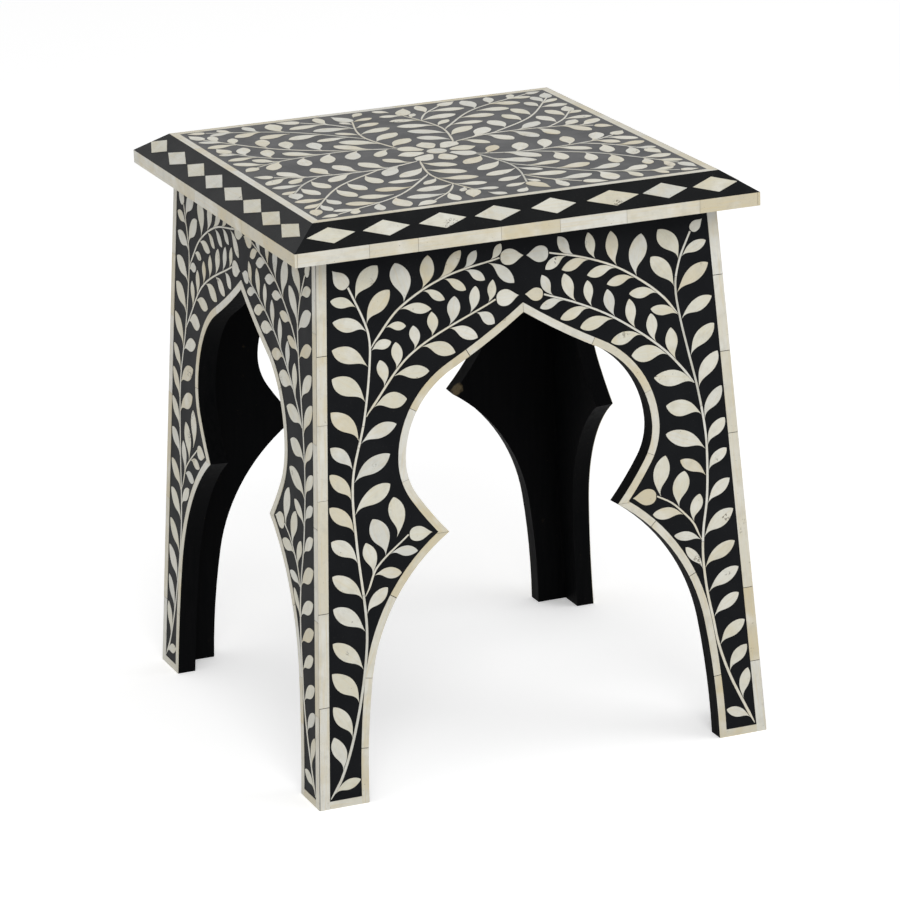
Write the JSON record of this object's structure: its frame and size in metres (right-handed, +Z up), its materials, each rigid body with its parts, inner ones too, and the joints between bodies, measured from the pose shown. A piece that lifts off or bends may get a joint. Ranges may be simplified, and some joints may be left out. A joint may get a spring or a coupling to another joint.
{
  "type": "moroccan kursi stool",
  "caption": "Square side table or stool with leaning arched panels and a bevelled top, black with bone inlay of leafy vines and diamonds.",
  "frame": {"origin": "on the floor, under the middle of the stool", "axes": "+Z up through the middle of the top; -Y the front panel, +X the right panel"},
  "size_m": [0.38, 0.38, 0.4564],
  "materials": {
    "bone": "sanded and waxed bone, ivory to cream, low sheen",
    "black_resin": "sanded black resin ground, satin sheen",
    "black_panel": "board with a satin black resin face and matte black painted edges and back",
    "black_wood": "matte black paint"
  },
  "bodies": {
    "root": {"arch_edging": "bone", "bevel_diamonds_back": "bone", "bevel_diamonds_front": "bone", "bevel_diamonds_left": "bone", "bevel_diamonds_right": "bone", "bevel_ground_back": "black_resin", "bevel_ground_front": "black_resin", "bevel_ground_left": "black_resin", "bevel_ground_right": "black_resin", "corner_blocks": "black_wood", "corner_edging_back": "bone", "corner_edging_front": "bone", "corner_edging_left": "bone", "corner_edging_right": "bone", "foot_edging_back": "bone", "foot_edging_front": "bone", "foot_edging_left": "bone", "foot_edging_right": "bone", "panel_buds_back": "bone", "panel_buds_front": "bone", "panel_buds_left": "bone", "panel_buds_right": "bone", "panel_leaves_back": "bone", "panel_leaves_front": "bone", "panel_leaves_left": "bone", "panel_leaves_right": "bone", "panel_stems_back": "bone", "panel_stems_front": "bone", "panel_stems_left": "bone", "panel_stems_right": "bone", "rim_band_back": "bone", "rim_band_front": "bone", "rim_band_left": "bone", "rim_band_right": "bone", "side_panel_back": "black_panel", "side_panel_front": "black_panel", "side_panel_left": "black_panel", "side_panel_right": "black_panel", "top_board": "black_wood", "top_border_back": "bone", "top_border_front": "bone", "top_border_left": "bone", "top_border_right": "bone", "top_buds": "bone", "top_cleat_back": "black_wood", "top_cleat_front": "black_wood", "top_cleat_left": "black_wood", "top_cleat_right": "black_wood", "top_flower": "bone", "top_ground": "black_resin", "top_leaves": "bone", "top_stems": "bone"}
  },
  "joints": []
}
